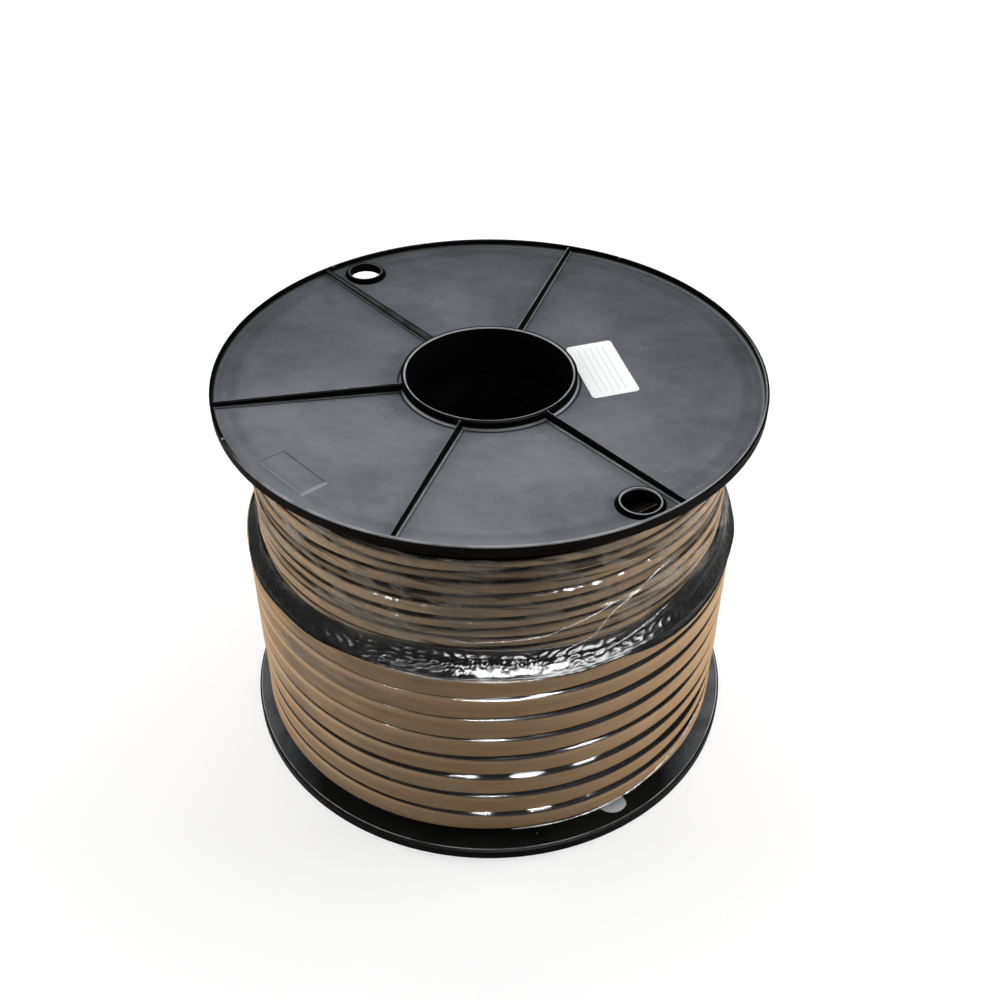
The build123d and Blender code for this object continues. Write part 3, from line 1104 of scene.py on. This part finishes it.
def painted_gap_dashes(tree):
    """Short dark dashes along the upper turns, painted shade of the dark gaps between the cores, and darker
    patches between them.
    """
    dashes = noise(wrapped_point(tree, 2.6, 300.0, 0.01), 1.0, 2.0, 0.5)
    patches = noise(wrapped_point(tree, 2.2, 40.0, 0.03), 1.3, 3.0, 0.55)
    dashes = times(ramp(dashes, 0.56, 0.62, 0.0, 0.85), ramp(patches, 0.4, 0.55))
    return larger(dashes, ramp(patches, 0.5, 0.7, 0.0, 0.45))


def cable_sheath(name, crest, tones, shade_depths, edges):
    """Brown sheath with faint lines along the cable, and painted shade that turns it black deep in the gaps.
    """
    material, tree, shader = new_material(name)
    lines = noise(wrapped_point(tree, 1.2, 900.0), 1.0, 3.0, 0.6)
    tone = noise(wrapped_point(tree, 0.8, 60.0), 1.5, 2.0, 0.5)
    share = ramp(plus(lines, tone), 0.7, 1.3)
    colour = blend_colours(share, *tones)
    if edges:
        # Painted highlight along the upper edge of each outer turn, on the left
        colour = blend_colours(painted_edge_highlights(tree), colour, EDGE_HIGHLIGHT_TAN)
        # Painted shade: the outer turns grow darker towards the bottom
        tone_shift = ramp(parts_of(object_point(tree))[2], 0.015, 0.085, 0.24, 0.0)
        colour = blend_colours(tone_shift, colour, LOW_PAINTED_SHADE)
    else:
        # Painted shade: dark dashes and patches on the upper turns
        colour = blend_colours(painted_gap_dashes(tree), colour, DASH_PAINTED_SHADE)
    # Painted shade: black with depth below the crest, where the gaps lie in shadow
    depth = minus(crest, axis_radius(object_point(tree)))
    colour = blend_colours(ramp(depth, *shade_depths), colour, GAP_PAINTED_SHADE)
    coat(tree, shader, colour, ramp(lines, 0.3, 0.7, 0.45, 0.6), 0.004)
    bump_into(tree, shader, lines, 0.1, 0.0003)
    return material


def black_wrap():
    """Glossy black film, crumpled."""
    material, tree, shader = new_material("black_wrap")
    crinkle = noise(wrapped_point(tree, 9.0, 90.0), 3.0, 1.0, 0.4)
    colour = blend_colours(crinkle, *WRAP_TONES)
    coat(tree, shader, colour, ramp(crinkle, 0.3, 0.7, 0.18, 0.32), 0.05)
    bump_into(tree, shader, crinkle, 0.15, 0.001)
    return material


def clear_film(name, haze, tint):
    """Clear stretch film: mostly see-through, with a grey haze in patches and a wet gloss."""
    material, tree, shader = new_material(name)
    tree.nodes.remove(shader)
    patches = noise(wrapped_point(tree, 2.2, 42.0, 0.02), 1.6, 4.0, 0.65)
    streaks = noise(wrapped_point(tree, 3.0, 400.0, 0.01), 1.0, 3.0, 0.6)
    veil = plus(times(patches, 0.7), times(streaks, 0.3))
    veil = times(ramp(veil, 0.42, 0.64, 0.1, 1.0), haze(tree))
    crinkle = noise(wrapped_point(tree, 14.0, 130.0), 2.0, 2.0, 0.45)
    bump = add_node(tree, "ShaderNodeBump", {"Height": crinkle, "Strength": 0.08, "Distance": 0.0006})
    normal = bump.outputs["Normal"]
    clear = add_node(tree, "ShaderNodeBsdfTransparent").outputs[0]
    milk = add_node(tree, "ShaderNodeBsdfDiffuse", {"Color": tint, "Normal": normal}).outputs[0]
    shine = add_node(tree, "ShaderNodeBsdfGlossy", {"Roughness": 0.12, "Normal": normal}).outputs[0]
    fresnel = add_node(tree, "ShaderNodeFresnel", {"IOR": 1.3, "Normal": normal}).outputs[0]
    mirror = sums("MINIMUM", fresnel, 0.0075)
    body = add_node(tree, "ShaderNodeMixShader", {0: veil, 1: clear, 2: milk}).outputs[0]
    whole = add_node(tree, "ShaderNodeMixShader", {0: mirror, 1: body, 2: shine}).outputs[0]
    tree.links.new(whole, tree.nodes["Material Output"].inputs["Surface"])
    return material


def lower_haze(tree):
    """Haziest on the left, low on each turn, where the film bridges the gaps, and on the upper turns."""
    x, _, z = parts_of(object_point(tree))
    left = times(ramp(x, -0.13, 0.01, 1.0, 0.05), ramp(x, -0.150, -0.115, 0.1, 1.0))
    turn = outer_turn_share(z)
    low = times(ramp(turn, 0.02, 0.12), ramp(turn, 0.6, 0.82, 1.0, 0.15))
    return times(times(left, low), ramp(z, 0.05, 0.14, 0.4, 1.0))


def upper_haze(tree):
    """Little over the band, more over the upper turns, in patches with sharp slanting edges."""
    z = parts_of(object_point(tree))[2]
    patches = noise(wrapped_point(tree, 3.4, 55.0, 0.06), 1.5, 3.0, 0.55)
    sharp = ramp(patches, 0.46, 0.52, 0.08, 1.0)
    return times(ramp(z, 0.170, 0.186, 0.03, 0.62), sharp)


def strand_haze(tree):
    return ramp(noise(object_point(tree), 150.0, 2.0), 0.3, 0.7, 0.4, 0.9)


def label_rules(point):
    """Empty ruled lines along the label."""
    along, across = turned_plan(point, LABEL_ANGLE)
    lines = [pulse(along, at, at + RULE_WIDTH, 0.0002) for at in LABEL_RULES]
    return times(largest(lines), pulse(across, *RULE_ENDS, 0.0002))


def label_paper():
    """White coated paper with empty rules."""
    material, tree, shader = new_material("label_paper")
    point = object_point(tree)
    fibre = noise(point, 500.0, 4.0, 0.6)
    # Blotchy soiling of the paper
    tone_shift = noise(point, 40.0, 3.0, 0.5)
    share = plus(times(fibre, 0.4), times(tone_shift, 0.6))
    colour = blend_colours(share, *PAPER_TONES)
    rules = times(label_rules(point), 0.45)
    colour = blend_colours(rules, colour, RULE_GREY)
    tree.links.new(colour, shader.inputs["Base Color"])
    shader.inputs["Roughness"].default_value = 0.5
    bump_into(tree, shader, fibre, 0.08, 0.0002)
    return material


def dress(node, material):
    slots = frame["nodes"][node].data.materials
    slots.clear()
    slots.append(material)


def seen_directly(tree):
    """1 for rays from the camera and for those that a mirror or clear stuff sends on."""
    path = add_node(tree, "ShaderNodeLightPath").outputs
    seen = larger(path["Is Camera Ray"], path["Is Glossy Ray"])
    return larger(seen, path["Is Transmission Ray"])


def floor():
    """A pale floor that shows white to the camera and to reflections and keeps the shadow; its glow is
    turned down under the reel as painted shade.
    """
    material, tree, shader = new_material("floor")
    tree.nodes.remove(shader)
    radius = axis_radius(object_point(tree))
    # Painted shade: the glow fades under the reel, where the floor lies in its shadow
    near = ramp(radius, 0.150, 0.168, 0.10, 0.60)
    level = plus(near, ramp(radius, 0.4, 1.6, 0.0, 0.35))
    strength = times(seen_directly(tree), level)
    glow = add_node(tree, "ShaderNodeEmission", {"Strength": strength})
    plain = add_node(tree, "ShaderNodeBsdfDiffuse", {"Color": FLOOR_GREY}).outputs[0]
    both = add_node(tree, "ShaderNodeAddShader", {0: glow.outputs[0], 1: plain}).outputs[0]
    tree.links.new(both, tree.nodes["Material Output"].inputs["Surface"])
    mesh = bpy.data.meshes.new("floor")
    half = 6.0
    corners = [(-half, -half, 0), (half, -half, 0), (half, half, 0), (-half, half, 0)]
    mesh.from_pydata(corners, [], [(0, 1, 2, 3)])
    mesh.materials.append(material)
    link(bpy.data.objects.new("floor", mesh))


def world():
    """White to the camera and to reflections, and a dimmer even fill for everything else."""
    made = bpy.data.worlds.new("studio")
    made.use_nodes = True
    bpy.context.scene.world = made
    tree = made.node_tree
    background = tree.nodes["Background"]
    background.inputs["Color"].default_value = (1, 1, 1, 1)
    tree.links.new(ramp(seen_directly(tree), 0.0, 1.0, 0.21, 1.0), background.inputs["Strength"])


def soft_box(name, bearing, elevation, distance, width, height, power, diffuse=True, glossy=True):
    """An area lamp at a bearing and elevation in degrees, aimed at the middle of the reel."""
    light = bpy.data.lights.new(name, "AREA")
    light.shape = "RECTANGLE"
    light.size = width
    light.size_y = height
    light.energy = power
    lamp = link(bpy.data.objects.new(name, light))
    level = math.cos(math.radians(elevation))
    towards = Vector((
        level * math.sin(math.radians(bearing)),
        -level * math.cos(math.radians(bearing)),
        math.sin(math.radians(elevation)),
    ))
    lamp.location = Vector((0, 0, 0.13)) + distance * towards
    lamp.rotation_mode = "QUATERNION"
    lamp.rotation_quaternion = (-towards).to_track_quat("-Z", "Y")
    lamp.visible_diffuse = diffuse
    lamp.visible_glossy = glossy


def lights():
    soft_box("overhead", 180, 66, 1.5, 1.4, 0.9, 9)
    soft_box("left", -100, 17, 1.5, 1.0, 1.0, 18, glossy=False)
    soft_box("right", 100, 17, 1.5, 1.0, 1.0, 24, glossy=False)
    soft_box("window", 28, 46, 1.8, 1.9, 0.9, 1150, diffuse=False)
    soft_box("lamp", -44, 46, 1.8, 0.12, 0.65, 55, diffuse=False)


def camera():
    """At the photograph's angle; the reel's axis stands a little left of the middle of the frame."""
    made = bpy.data.cameras.new("camera")
    made.sensor_width = 36.0
    made.lens = 43.37
    made.shift_x = 0.0107
    piece = link(bpy.data.objects.new("camera", made))
    piece.location = (0, -0.6290, 0.6670)
    piece.rotation_mode = "QUATERNION"
    piece.rotation_quaternion = (Vector((0, 0, 0.1598)) - piece.location).to_track_quat("-Z", "Y")
    bpy.context.scene.camera = piece


outer_layer(cable_sheath("cable_sheath_outer", OUTER_RADIUS, OUTER_TONES, OUTER_SHADE_DEPTHS, True))
inner_layers(cable_sheath("cable_sheath_inner", INNER_RADIUS, INNER_TONES, INNER_SHADE_DEPTHS, False))
wrap_band(black_wrap())
lower_film(clear_film("clear_film_lower", lower_haze, LOWER_TINT))
upper_film(clear_film("clear_film_upper", upper_haze, UPPER_TINT))
film_strands(clear_film("clear_film_strands", strand_haze, STRAND_TINT))
dress("upper_flange", upper_plastic())
bare_plastic = lower_plastic()
dress("lower_flange", bare_plastic)
dress("barrel", bare_plastic)
dress("label", label_paper())
floor()
world()
lights()
camera()
bpy.context.scene.view_settings.view_transform = "Standard"
